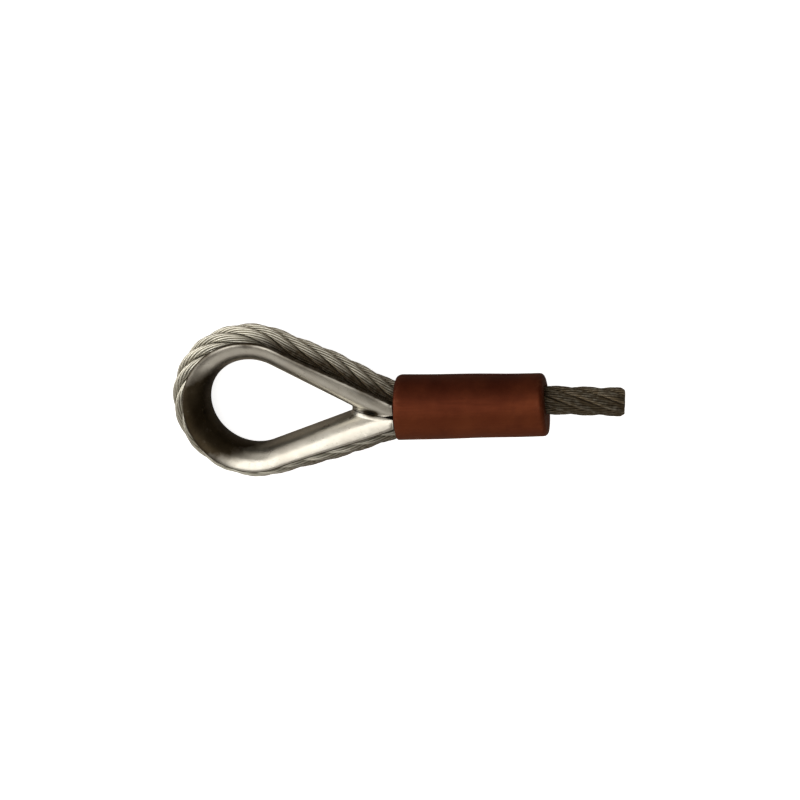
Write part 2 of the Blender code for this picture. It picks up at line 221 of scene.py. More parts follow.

# %% [markdown]
# ## The zinc on the thimble
# A commercial thimble is pressed from sheet and dipped in molten zinc. The coat is a dull silver
# with soft cloudy patches and runs, and it is smoother where the pin polishes it. The groove under
# the rope, the live leg's rims and the pit at the pointed ends are darkened brown to black: painted
# shade. The far side of the crown is browned as well. All this follows the shape, so the mesh
# carries it as a value at each point, and the noises only break its edge up.

# %% Zinc finish
def zinc_finish():
    """Cloudy zinc: two silvers by a 9 mm noise, browned and painted shade where the mesh says."""
    material, tree, shader = new_finish("dipped_zinc", 1.0, 0.3)
    cloud = ramp(tree, grain(tree, 9.0, 5.0), 0.35, 0.68)
    silver = blend(tree, cloud, (0.62, 0.60, 0.54), (0.53, 0.50, 0.44))
    speck = ramp(tree, grain(tree, 0.9, 3.0), 0.60, 0.74)
    silver = blend(tree, times(tree, speck, 0.35), silver, (0.22, 0.19, 0.15))
    ragged = ramp(tree, grain(tree, 2.5, 5.0), 0.3, 0.7, -0.08, 0.08)
    # The mesh's value marks painted shade in the groove, on the live rims and in the pit, and a
    # browned crown.
    painted_shade_and_browning = times(tree, mark(tree, "painted_shade_and_browning"), ragged, "ADD")
    shade_and_browning_mix = ramp(tree, painted_shade_and_browning, 0.04, 0.96)
    brown = blend(tree, cloud, (0.030, 0.021, 0.011), (0.060, 0.046, 0.028))
    # From 1 upward the brown turns towards black: painted shade in the pit.
    brown = blend(tree, ramp(tree, painted_shade_and_browning, 1.0, 1.9), brown, (0.006, 0.006, 0.005))
    tree.links.new(blend(tree, shade_and_browning_mix, silver, brown), shader.inputs["Base Color"])
    dull = ramp(tree, grain(tree, 3.0, 6.0), 0.3, 0.7, 0.26, 0.36)
    dull = times(tree, dull, times(tree, shade_and_browning_mix, 0.12), "ADD")
    tree.links.new(dull, shader.inputs["Roughness"])
    bumps(tree, shader, [
        (grain(tree, 7.0, 2.0), 0.0006, 0.15),
        (grain(tree, 0.7, 4.0), 0.00008, 0.3)])
    return material

# %% [markdown]
# ## The wire
# The rope is laid from drawn, galvanised wire. New wire is bright; here it is dulled, with brown
# grease packed between the wires and most of it near the ferrule and along the cut stub. The same
# brown is painted shade beside the live leg's rims and on the tail leg's outermost wires. The mesh
# carries how far out in the rope a point lies, so the crests can shine while the valleys stay dark,
# and where the coat is thick the valleys are painted paler: painted light against their shade. It
# also carries a shade of its own for each wire.

# %% Wire finish
def wire_finish(name, bright, grease_and_shade_colour, roughness):
    """Drawn wire: each wire a little different, thin grease in the valleys, thick where marked.
    The marked coat is grease, and painted shade beside the live rims and on the tail's outer wires.

    Where the coat is thick the valleys are painted paler: painted light against their shade.
    """
    material, tree, shader = new_finish(name, 1.0, roughness)
    metal = blend(tree, mark(tree, "shade"), bright, tuple(0.8 * c for c in bright))
    blotch = ramp(tree, grain(tree, 4.0, 4.0), 0.45, 0.65)
    metal = blend(tree, times(tree, blotch, 0.2), metal, tuple(0.5 * c for c in bright))
    valley = ramp(tree, mark(tree, "crest"), 0.80, 0.97, 1.0, 0.0)
    ragged = ramp(tree, grain(tree, 1.6, 5.0), 0.3, 0.7, -0.12, 0.12)
    smeared_grease_and_shade = times(tree, mark(tree, "grease_and_painted_shade"), ragged, "ADD")
    # The marked coat is grease along the stub and ferrule, and painted shade by the live rims and on
    # the tail's outer wires.
    coat_of_grease_and_shade = times(tree, times(tree, valley, 0.18), smeared_grease_and_shade, "MAXIMUM")
    # Painted light: the coat's colour is paler in the valleys, lifting their shade.
    coat_with_painted_valley_light = blend(tree, valley, grease_and_shade_colour, tuple(2.4 * c for c in grease_and_shade_colour))
    tree.links.new(blend(tree, coat_of_grease_and_shade, metal, coat_with_painted_valley_light), shader.inputs["Base Color"])
    dull = ramp(tree, grain(tree, 1.2, 4.0), 0.3, 0.7, roughness - 0.06, roughness + 0.12)
    dull = times(tree, dull, times(tree, coat_of_grease_and_shade, 0.22), "ADD")
    tree.links.new(dull, shader.inputs["Roughness"])
    bumps(tree, shader, [(grain(tree, 0.35, 3.0), 0.00004, 0.4)])
    return material

# %% [markdown]
# ## The browned copper
# The ferrule is soft metal, squeezed round the legs in a die and coloured a dark red-brown. Its
# skin is satin with slow changes of tone, fine scratches along it from the die, and paler metal
# where the end edges have rubbed. Towards +Y the skin is painted darker: painted shade.

# %% Copper finish
def copper_finish():
    """Browned copper: two tones by slow noise, painted shade towards +Y, scratches along x."""
    material, tree, shader = new_finish("browned_copper", 0.75, 0.55)
    tone = ramp(tree, grain(tree, 14.0, 3.0), 0.35, 0.65)
    skin = blend(tree, tone, (0.155, 0.035, 0.012), (0.200, 0.050, 0.017))
    stain = ramp(tree, grain(tree, 5.0, 5.0), 0.55, 0.75)
    skin = blend(tree, times(tree, stain, 0.3), skin, (0.080, 0.016, 0.008))
    place = add_node(tree, "ShaderNodeTexCoord").outputs["Object"]
    # Painted shade: the skin darkens towards +Y.
    across = add_node(tree, "ShaderNodeSeparateXYZ", {"Vector": place}).outputs["Y"]
    painted_shade_towards_y = ramp(tree, across, MOUTH[1] - 0.6 * FERRULE_R, MOUTH[1] + 0.9 * FERRULE_R)
    painted_shade_towards_y = times(tree, painted_shade_towards_y, ramp(tree, grain(tree, 8.0, 4.0), 0.3, 0.7, 0.75, 1.15))
    skin = blend(tree, times(tree, painted_shade_towards_y, 0.8), skin, (0.045, 0.006, 0.002))
    rubbed = times(tree, mark(tree, "edge"), ramp(tree, grain(tree, 1.5, 5.0), 0.5, 0.75))
    skin = blend(tree, times(tree, rubbed, 0.3), skin, (0.26, 0.11, 0.06))
    tree.links.new(skin, shader.inputs["Base Color"])
    scratch = grain(tree, 0.5, 3.0, stretch=(0.04, 1, 1))
    dull = ramp(tree, scratch, 0.3, 0.7, 0.48, 0.62)
    tree.links.new(dull, shader.inputs["Roughness"])
    bumps(tree, shader, [
        (grain(tree, 4.0, 2.0), 0.0003, 0.25),
        (scratch, 0.00003, 0.3)])
    shader.inputs["Specular IOR Level"].default_value = 0.2
    return material


ZINC = zinc_finish()
OUTER_WIRE = wire_finish("drawn_wire", (0.74, 0.72, 0.63), (0.070, 0.054, 0.034), 0.38)
CORE_WIRE = wire_finish("core_wire", (0.30, 0.27, 0.22), (0.045, 0.036, 0.024), 0.45)
COPPER = copper_finish()
print("finishes:", [m.name for m in (ZINC, OUTER_WIRE, CORE_WIRE, COPPER)])

# %% [markdown]
# ## The thimble
# On the bench this is a strip pressed to a U section and bent round a former until its two ends
# meet in a point. It could be one curve with a bevel shape, but then the ends could not be cut to
# their points. Here the section is a line of points, each with its distance out from the eye's
# inner face and its height. Round the crown every point turns about one centre. Along each leg it
# runs straight until it meets the eye's middle plane or stops short of the ferrule, and on the
# back its last stretch curls in to round the tip of the eye. The ends need no cutting that way.
# The rims, which never meet, are spread outward a little towards the ferrule.

# %% The thimble's section
PROFILE_STEPS, LIP_STEPS = 40, 8


def thimble_section():
    """(distance out, height) round the U: the back, a rim, the groove, a rim.

    back   = (R - R cos t, H sin t) for t from -90 to 90 degrees, H half the thimble's width
    groove = (R - r cos t, (H - sheet) sin t), run the other way
    rim    = a low half ellipse across the sheet, from one to the other
    """
    t = np.linspace(-0.5 * math.pi, 0.5 * math.pi, PROFILE_STEPS + 1)
    back = np.c_[BACK_R - BACK_R * np.cos(t), HALF_WIDTH * np.sin(t)]
    groove = np.c_[BACK_R - GROOVE_R * np.cos(t[::-1]), (HALF_WIDTH - SHEET) * np.sin(t[::-1])]
    bow = np.linspace(0.0, math.pi, LIP_STEPS + 1)[1:-1]
    upper = np.c_[BACK_R + 0.0007 * np.sin(bow), HALF_WIDTH - SHEET / 2 * (1 - np.cos(bow))]
    return np.vstack([back, upper, groove, upper[::-1] * (1, -1)])


SECTION = thimble_section()
ON_BACK = np.arange(len(SECTION)) <= PROFILE_STEPS
print("points round the U section:", len(SECTION))

# %% The thimble's rings
BUTT_GAP, FERRULE_GAP = 0.0003, 0.0005
FLARE, FLAT_FROM = 0.0015, 0.0050
TIP_ROUND, TIP_CREEP = 0.00175, 0.0006
CROWN_STEPS, LEG_STEPS, TIP_STEPS = 150, 36, 12


def leg_rings(side):
    """Rings from the crown to the pointed end: straight runs, each point with its own length.

    Points further out than FLAT_FROM are also carried outward, by up to FLARE at the rim. The last
    TIP_STEPS rings are the curl of the tip, and elsewhere they share out TIP_CREEP of the run.
    """
    leg = EYE_AXIS * math.cos(HALF_ANGLE) - side * EYE_NORMAL * math.sin(HALF_ANGLE)
    out = EYE_AXIS * math.sin(HALF_ANGLE) + side * EYE_NORMAL * math.cos(HALF_ANGLE)
    start = CROWN_CENTRE + out * (EYE_R + SECTION[:, :1])
    height = side * ((start - CROWN_CENTRE) @ EYE_NORMAL) - BUTT_GAP / 2
    to_middle = height / math.sin(HALF_ANGLE)
    flare = FLARE * smooth_step((SECTION[:, :1] - FLAT_FROM) / (BACK_R - FLAT_FROM))
    to_ferrule = (-FERRULE_GAP - start[:, 0] - flare[:, 0] * out[0]) / leg[0]
    lead = TIP_ROUND / math.tan(HALF_ANGLE)
    rounded = ON_BACK & (to_middle < to_ferrule)
    length = np.minimum(to_middle, to_ferrule) - np.where(rounded, lead, TIP_CREEP)
    t = np.linspace(0.0, 1.0, LEG_STEPS + 1)[1:, None, None]
    run = start + leg * t * length[:, None] + out * flare * smooth_step(t)
    turn = np.linspace(0.0, 0.5 * math.pi - HALF_ANGLE, TIP_STEPS + 1)[1:, None, None]
    curl = leg * TIP_ROUND * np.sin(turn) - out * TIP_ROUND * (1 - np.cos(turn))
    creep = leg * TIP_CREEP * turn / turn[-1]
    tip = run[-1] + np.where(rounded[:, None], curl, creep)
    return np.concatenate([run, tip])


def thimble_rings():
    """All rings, from one pointed end round the crown to the other, as x, y, height."""
    flank = 0.5 * math.pi - HALF_ANGLE
    angle = np.linspace(flank, 2 * math.pi - flank, CROWN_STEPS + 1)[:, None, None] - LEAN
    ray = np.concatenate([np.cos(angle), np.sin(angle)], axis=2)
    crown = CROWN_CENTRE + ray * (EYE_R + SECTION[:, :1])
    flat = np.concatenate([leg_rings(1)[::-1], crown, leg_rings(-1)])
    height = np.broadcast_to(SECTION[:, 1], flat.shape[:2])[:, :, None]
    return np.concatenate([flat, height], axis=2)


rings = thimble_rings()
print("thimble rings x points:", rings.shape[:2])

# %% [markdown]
# A pressed thimble is never quite true: the sheet spreads a little and thins at the crown, and the
# rims wander by a tenth of a millimetre. A few slow waves along the strip give that. The value the
# mesh carries for the zinc's colour is painted shade in the groove and along the live leg's rims,
# and it browns the far side of the crown. In the pit where the two shoulders first meet it rises to
# 2, and from 1 upward the zinc finish turns from brown towards black: painted shade in the hollow.

# %% The thimble's mesh
SWAY_SLOW, SWAY_FAST, PIT_SINK = 0.00012, 0.00008, 0.0003
PIT_LENGTH, PIT_WIDTH, PIT_SHIFT = 0.0092, 0.0012, 0.0006


def crown_browning_and_rim_shade(rings):
    """1 where the crown is browned. It climbs from the inner face towards the rim with
    W = 1.65 exp(-((phi + 18) / 60)^2), phi being degrees round the crown from its far point.
    The rims of the live leg are darkened brown too: painted shade beside the rope."""
    ray = rings[:, :, :2] - CROWN_CENTRE
    phi = np.degrees(np.arctan2(ray @ EYE_NORMAL, -(ray @ EYE_AXIS)))
    reach = 1.65 * np.exp(-((phi + 18) / 60) ** 2)
    up = np.clip(rings[:, :, 2] / HALF_WIDTH, -1, 1)
    climb = np.clip(np.degrees(np.arcsin(up)) / 90, 0, 1)
    end_rounding_crown_brown_rim_shade = 1 - (1 - smooth_step((reach - climb + 0.35) / 1.0)) ** 2.2
    # Painted shade: the live leg's rims darkened beside the rope.
    live_rim_shade = 0.8 * smooth_step((np.abs(up) - 0.975) / 0.025) * smooth_step((phi + 10) / 50)
    return np.maximum(end_rounding_crown_brown_rim_shade, live_rim_shade)


def shoulder_pit(rings):
    """1 in the hollow between the two shoulders, from the eye's tip to PIT_LENGTH beyond it."""
    spot = rings[:, :, :2] - APEX
    ahead, across = spot @ EYE_AXIS, spot @ EYE_NORMAL
    along = smooth_step(ahead / 0.0045) * smooth_step((PIT_LENGTH - ahead) / 0.004)
    return along * np.exp(-((across - PIT_SHIFT) / PIT_WIDTH) ** 2)


def thimble_mesh(rings):
    """The strip with slow waves in its rims, closed across its wall at both ends."""
    count, sides = rings.shape[:2]
    t = np.linspace(0.0, 1.0, count)[:, None]
    rim = (np.abs(SECTION[:, 1]) / HALF_WIDTH)[None, :] ** 4
    sway = SWAY_SLOW * np.sin(19 * t + 1.3) + SWAY_FAST * np.sin(47 * t)
    rings = rings.copy()
    pit = shoulder_pit(rings)
    rings[:, :, 2] -= np.sign(SECTION[:, 1]) * (np.abs(sway) * rim + PIT_SINK * pit * ON_BACK)
    # The far side of the crown is browned, and the live leg's rims carry painted shade.
    end_rounding_crown_brown_rim_shade = crown_browning_and_rim_shade(rings) * ON_BACK
    # Painted shade: 0.9 in the groove and on its lips, up to 2 in the pit between the shoulders.
    groove = np.broadcast_to((~ON_BACK)[None, :] * 0.9, end_rounding_crown_brown_rim_shade.shape)
    painted_shade_and_browning = np.maximum.reduce([groove, 2 * pit, end_rounding_crown_brown_rim_shade])
    mesh = tube_mesh("thimble", (MOUTH + rings)[None], {"painted_shade_and_browning": painted_shade_and_browning})
    return close_across_wall(mesh, count, sides)


def close_across_wall(mesh, count, sides):
    """Swap the two flat end faces, which would span the groove, for ladders across the sheet."""
    back = np.arange(PROFILE_STEPS + 1)
    lip = np.arange(PROFILE_STEPS + 1, PROFILE_STEPS + LIP_STEPS)
    groove = sides - LIP_STEPS - back
    ladder = [(back[i], back[i + 1], groove[i + 1], groove[i]) for i in range(PROFILE_STEPS)]
    ladder.append((back[-1], *lip, groove[-1]))
    ladder.append((groove[0], *range(sides - LIP_STEPS + 1, sides), back[0]))
    co = np.empty(len(mesh.vertices) * 3)
    mesh.vertices.foreach_get("co", co)
    painted_shade_and_browning = np.empty(len(mesh.vertices))
    mesh.attributes["painted_shade_and_browning"].data.foreach_get("value", painted_shade_and_browning)
    faces = [list(p.vertices) for p in mesh.polygons][:-2]
    last = (count - 1) * sides
    for rung in ladder:
        rung = [int(v) for v in rung]
        faces.append(rung[::-1])
        faces.append([last + v for v in rung])
    solid = bpy.data.meshes.new("thimble")
    solid.from_pydata(co.reshape(-1, 3), [], faces)
    layer = solid.attributes.new("painted_shade_and_browning", "FLOAT", "POINT")
    layer.data.foreach_set("value", painted_shade_and_browning.astype(np.float32))
    bpy.data.meshes.remove(mesh)
    solid.name = "pressed_thimble"
    return solid


thimble = add_piece(thimble_mesh(rings), ["thimble"], ZINC)

# %% [markdown]
# ## The way of the rope
# The rope starts at the cut end of the stub, goes back through the ferrule, out along the live leg,
# round the crown and home along the tail. Its centre line is straight stretches and arcs. Where a
# leg leaves the crown, one straight line must touch the crown's circle and, on its other side, the
# circle of the bend into the ferrule: the slope of that line follows from the distance between the
# two centres, as for a crossed belt on two pulleys.

# %% The rope's centre line
FINE = 0.0002
EXIT, DROP, STUB = 0.0016, 0.0013, 0.0266
LIVE_Y, LIVE_BEND, LIVE_END = 0.0039, 0.020, 0.0044
TAIL_Y, TAIL_BEND, TAIL_END = -0.0045, 0.040, 0.010
TAIL_STOP = FERRULE_LENGTH - 0.0095  # where the tail ends, inside the ferrule
CROWN_SLACK, LIVE_BOW, TAIL_BOW = 0.00104, 0.0008, 0.0006


def crossed_slope(centre, radius, side):
    """Slope of the line that touches the crown's circle and, crossed over, a bend's circle."""
    run, rise = centre[0] - CROWN_CENTRE[0], side * (centre[1] - CROWN_CENTRE[1])
    return math.asin((SEAT_R + radius) / math.hypot(run, rise)) - math.atan2(rise, run)


def line(start, end, bow=0.0):
    """Points of a straight stretch, or of one that stands off to its right by the bow midway."""
    start, end = np.array(start), np.array(end)
    t = np.linspace(0, 1, max(4, int(math.dist(start, end) / FINE)))[:, None]
    along = (end - start) / math.dist(start, end)
    right = np.array([along[1], -along[0]])
    return start * (1 - t) + end * t + right * bow * np.sin(math.pi * t) ** 2


def arc(centre, radius, start, end):
    """Points of an arc; the radius may be an array that changes along it."""
    t = np.linspace(start, end, max(4, int(abs(end - start) * np.max(radius) / FINE)))
    return t, np.c_[centre[0] + radius * np.cos(t), centre[1] + radius * np.sin(t)]


def centre_line():
    """The rope's centre line in x and y, from the cut end to the end of the tail."""
    cut, outlet = (FERRULE_LENGTH + STUB, EXIT - DROP), (FERRULE_LENGTH, EXIT)
    inside = (FERRULE_LENGTH - 0.0135, LIVE_Y)
    t = np.linspace(0, 1, 120)
    run = inside[0] - outlet[0]
    cross_y = EXIT * (2 * t**3 - 3 * t**2 + 1) + LIVE_Y * (3 * t**2 - 2 * t**3)
    cross_y += run * (-DROP / STUB) * (t**3 - 2 * t**2 + t)
    crossing = np.c_[outlet[0] + run * t, cross_y]
    live_centre, tail_centre = (LIVE_END, LIVE_Y + LIVE_BEND), (TAIL_END, TAIL_Y - TAIL_BEND)
    live = crossed_slope(live_centre, LIVE_BEND, 1)
    tail = crossed_slope(tail_centre, TAIL_BEND, -1)
    bend_in = arc(live_centre, LIVE_BEND, 1.5 * math.pi, 1.5 * math.pi - live)[1]
    bend_out = arc(tail_centre, TAIL_BEND, 0.5 * math.pi + tail, 0.5 * math.pi)[1]
    turn, over = arc(CROWN_CENTRE, SEAT_R, 0.5 * math.pi - live, 1.5 * math.pi + tail)
    off = CROWN_SLACK * np.maximum(0.0, np.cos(turn - (math.pi - LEAN))) ** 2
    over = over + off[:, None] * np.c_[np.cos(turn), np.sin(turn)]
    way = np.vstack([
        line(cut, outlet), crossing, line(inside, (LIVE_END, LIVE_Y)), bend_in,
        line(bend_in[-1], over[0], LIVE_BOW), over, line(over[-1], bend_out[0], TAIL_BOW), bend_out,
        line((TAIL_END, TAIL_Y), (TAIL_STOP, TAIL_Y))])
    moved = np.linalg.norm(np.diff(way, axis=0), axis=1) > 1e-9
    print("slopes of the legs, degrees:", round(math.degrees(live), 1), round(math.degrees(tail), 1))
    return way[np.r_[True, moved]]


WAY = centre_line()
ALONG = np.r_[0.0, np.cumsum(np.linalg.norm(np.diff(WAY, axis=0), axis=1))]
print("length of rope, mm:", round(1000 * ALONG[-1], 1))

# %% [markdown]
# Swaging squeezes the legs. Inside the ferrule each one is narrower across the pair and taller out
# of its plane. So a strand is first drawn in rope space, as if the rope were straight: s along it,
# and across and up from its centre. Then those offsets are squeezed and bent to their place all
# together, which keeps neighbouring wires clear of each other wherever the rope goes.

# %% Rope space
def rope_stations(step, start=0.0, end=None):
    """s, centre, inward direction and squeeze at even steps along the rope."""
    end = ALONG[-1] if end is None else end
    s = np.linspace(start, end, int(round((end - start) / step)) + 1)
    ahead, behind = np.clip(s + 2 * FINE, 0, ALONG[-1]), np.clip(s - 2 * FINE, 0, ALONG[-1])
    centre = np.c_[np.interp(s, ALONG, WAY[:, 0]), np.interp(s, ALONG, WAY[:, 1])]
    tangent = np.c_[
        np.interp(ahead, ALONG, WAY[:, 0]) - np.interp(behind, ALONG, WAY[:, 0]),
        np.interp(ahead, ALONG, WAY[:, 1]) - np.interp(behind, ALONG, WAY[:, 1])]
    tangent /= np.linalg.norm(tangent, axis=1)[:, None]
    inward = np.c_[-tangent[:, 1], tangent[:, 0]]
    squeeze = smooth_step((centre[:, 0] + 0.0025) / 0.0095)
    let_go = smooth_step((centre[:, 0] - TAIL_STOP) / 0.0085)
    squeeze = squeeze * np.where(s < ALONG[-1] / 2, 1 - let_go, 1.0)
    return s, centre, inward, squeeze


def bend_to_place(stations, across, up):
    """Rope-space offsets, squeezed and carried along the centre line, in the row frame."""
    s, centre, inward, squeeze = stations
    extra = (1,) * (across.ndim - 1)
    across = across * (1 - 0.22 * squeeze).reshape(-1, *extra)
    up = up * (1 + 0.18 * squeeze).reshape(-1, *extra)
    x = centre[:, 0].reshape(-1, *extra) + inward[:, 0].reshape(-1, *extra) * across
    y = centre[:, 1].reshape(-1, *extra) + inward[:, 1].reshape(-1, *extra) * across
    return MOUTH + np.stack([x, y, up], axis=-1)

# %% [markdown]
# ## The strands
# Six strands are laid right-hand round the core, and each strand is nineteen wires: one in the
# middle, nine thin ones, nine thick ones outside. The thick ones are laid the other way from the
# strands, with just the lay that brings those on the crests in line with the rope. That is what
# gives a wire rope its look, so the wires are real tubes here and not a bump. One formula does all
# of them: a wire winds round its strand's centre, and that centre winds round the rope's.

# %% Wires laid into a strand, and strands into the rope
def ring_of_strands(reach, lay, gap):
    """Radius and centre circle of six strands that fill a ring of this reach."""
    radius = reach / 3
    for _ in range(6):
        stretch = math.hypot(1.0, 2 * math.pi * (reach - radius) / lay)
        radius = (reach - gap) / (1 + 2 * stretch)
    return radius, reach - radius


def wire_rings(strand_r, count):
    """Radius and centre circle of a ring of touching wires inside a strand's radius."""
    half = math.sin(math.pi / count)
    radius = strand_r * half / (1 + half)
    return radius, strand_r - radius


def lay_wires(stations, circle, lay, turn, wires, sides):
    """Points of the wires of one strand: [wire, station, side, xyz], and how far out each lies.

    wires is a list of (wire radius, its circle in the strand, its own lay, its own turn).
    strand angle = turn + 2 pi s / lay; wire angle in the strand = own turn - 2 pi s / own lay.
    Offsets round the rope are longer by 1 / cos(lay angle), because the strand lies at a slant.
    """
    s = stations[0]
    theta = (turn + 2 * math.pi * s / lay)[:, None, None]
    stretch = math.hypot(1.0, 2 * math.pi * circle / lay)
    radius, ring, own_lay, own_turn = (np.array(v)[None, :, None] for v in zip(*wires))
    phi = own_turn - 2 * math.pi * s[:, None, None] / own_lay
    psi = np.linspace(0, 2 * math.pi, sides, endpoint=False)[None, None, :]
    out = circle + ring * np.cos(phi) + radius * np.cos(psi)
    side_way = (ring * np.sin(phi) + radius * np.sin(psi)) * stretch
    end_rounding_crown_brown_rim_shade = 1 - 0.13 * (1 - np.sqrt(1 - np.clip(1 - s / 0.0009, 0, 1) ** 2))[:, None, None]
    across = (out * np.cos(theta) - side_way * np.sin(theta)) * end_rounding_crown_brown_rim_shade
    up = (out * np.sin(theta) + side_way * np.cos(theta)) * end_rounding_crown_brown_rim_shade
    points = bend_to_place(stations, across, up).transpose(1, 0, 2, 3)
    crest = (np.hypot(across, up) / ROPE_R).transpose(1, 0, 2)
    return points, crest


def grease_and_shade_on(stations, points):
    """How much grease and painted shade the rope carries: grease along the stub and into the
    ferrule, painted shade beside the live leg's rims.

    The rims touch and shade the rope's inner half, so the painted shade there fades out between 1
    and 3.4 mm beyond the rope's centre line, measured outward. On the tail leg only the outermost
    wires are brown: painted shade at the leg's outer edge.
    """
    _, centre, inward, _ = stations
    x, y = centre[:, 0], centre[:, 1]
    spot = points[..., :2] - MOUTH[:2] - centre[None, :, None]
    outward = -np.einsum("wsnk,sk->wsn", spot, inward)
    leg = smooth_step((x + 0.056) / 0.022)
    live = smooth_step((y + 0.004) / 0.006)
    # Painted shade beside the live leg's rims, strongest towards the ferrule.
    rope_rim_shade = smooth_step((0.0038 - outward) / 0.0030) * (live * (0.12 + 0.85 * leg))[None, :, None]
    # Painted shade on the tail leg's outermost wires.
    brown = 0.75 * smooth_step((outward - 0.0018) / 0.0016) * ((1 - live) * leg)[None, :, None]
    haze = (0.5 * smooth_step((x + 0.022) / 0.022) + 0.25 * live * leg)[None, :, None]
    eye = 1 - (1 - np.maximum(rope_rim_shade, brown)) * (1 - haze)
    return np.where((x > 0.02)[None, :, None], 0.95, eye)


OUTER_LAY, CORE_LAY = 0.060, 0.032
STRAND_GAP, CORE_GAP = 0.00003, 0.0001
OUTER_R, OUTER_C = ring_of_strands(ROPE_R, OUTER_LAY, STRAND_GAP)
CORE_R, CORE_C = ring_of_strands(OUTER_C - OUTER_R - CORE_GAP, CORE_LAY, STRAND_GAP)
KING_R = CORE_C - CORE_R - STRAND_GAP
radii = [round(1000 * r, 3) for r in (OUTER_R, CORE_R, KING_R)]
print("strand, core strand and king radii, mm:", radii)

# %% [markdown]
# A ring of touching wires fills a strand when its own radius, seen from the strand's centre, spans
# one share of the circle. The thick wires come first, the thin ones lie inside them, and the last
# gap takes the middle wire.

# %% The six outer strands
THICK_R, THICK_C = wire_rings(OUTER_R, 9)
THIN_R, THIN_C = wire_rings(THICK_C - THICK_R, 9)
WIRE_LAY = OUTER_LAY * THICK_C / OUTER_C
shades = np.random.default_rng(7)


def strand_mesh(name, number):
    """One outer strand: nine thick wires, nine thin ones and a middle wire."""
    stations = rope_stations(0.0013)
    turn = 2 * math.pi * (number - 1) / 6
    steps = 2 * math.pi * np.arange(9) / 9
    thick = [(THICK_R, THICK_C, WIRE_LAY, a) for a in steps]
    inner = [(THIN_R, THIN_C, WIRE_LAY, a + 0.35) for a in steps]
    inner.append((THIN_C - THIN_R, 0.0, WIRE_LAY, 0.0))
    points, crest = lay_wires(stations, OUTER_C, OUTER_LAY, turn, thick, 8)
    fill, fill_crest = lay_wires(stations, OUTER_C, OUTER_LAY, turn, inner, 8)
    points, crest = np.concatenate([points, fill]), np.concatenate([crest, fill_crest])
    shade = np.broadcast_to(shades.random(len(points))[:, None, None] ** 1.5, crest.shape)
    # Grease, and painted shade by the live rims and on the tail's outer wires.
    grease_and_painted_shade = grease_and_shade_on(stations, points)
    return tube_mesh(name, points, {"crest": crest, "shade": shade, "grease_and_painted_shade": grease_and_painted_shade})


for number in range(1, 7):
    mesh = strand_mesh(f"laid_strand_{number}", number)
    strand = add_piece(mesh, [f"strand_{number}"], OUTER_WIRE, 70)

# %% [markdown]
# ## The core
# Inside lies a small rope of its own: six strands of seven wires round a king strand. It only
# shows at the cut end, so its wires have fewer sides and longer steps, but they are all there.

# %% The core's strands
CORE_WIRE_LAY = 0.012


def core_mesh(name, radius, circle, turn):
    """A core strand of six wires round one."""
    stations = rope_stations(0.0018)
    wire_r = radius / 3
    wires = [(wire_r, 2 * wire_r, CORE_WIRE_LAY, a) for a in 2 * math.pi * np.arange(6) / 6]
    wires.append((wire_r, 0.0, CORE_WIRE_LAY, 0.0))
    points, crest = lay_wires(stations, circle, CORE_LAY, turn, wires, 6)
    shade = np.broadcast_to(shades.random(len(points))[:, None, None], crest.shape)
    full = np.full(crest.shape, 0.5)
    return tube_mesh(name, points, {"crest": crest + 0.5, "shade": shade, "grease_and_painted_shade": full})


for number in range(1, 7):
    turn = 2 * math.pi * (number - 1) / 6
    mesh = core_mesh(f"laid_core_strand_{number}", CORE_R, CORE_C, turn)
    add_piece(mesh, [f"core_strand_{number}"], CORE_WIRE, 70)
king = add_piece(core_mesh("laid_core_king", KING_R, 0.0, 0.0), ["core_king"], CORE_WIRE, 70)

# %% [markdown]
# ## The ferrule
# The ferrule starts as a short oval sleeve and leaves the press as a round bar, slightly tapered,
# with a faint flash line along each side where the die halves met, softly rounded ends and a mouth
# that leans to the side of the tail. Its outside is a profile turned about x. The two ways
# through it are the legs' own shapes made a hair wider, and a Boolean takes them out, so the lips
# hug the rope.

# %% The ferrule's outside
AROUND = 224
MOUTH_ROUND, OUTLET_ROUND, TAPER, OBLIQUE = 0.0022, 0.0016, 0.0006, 0.05
MOUTH_IN, MOUTH_SHIFT, FLASH, CHANNEL_GAP = 0.00078, 0.00065, 0.00012, 0.00006


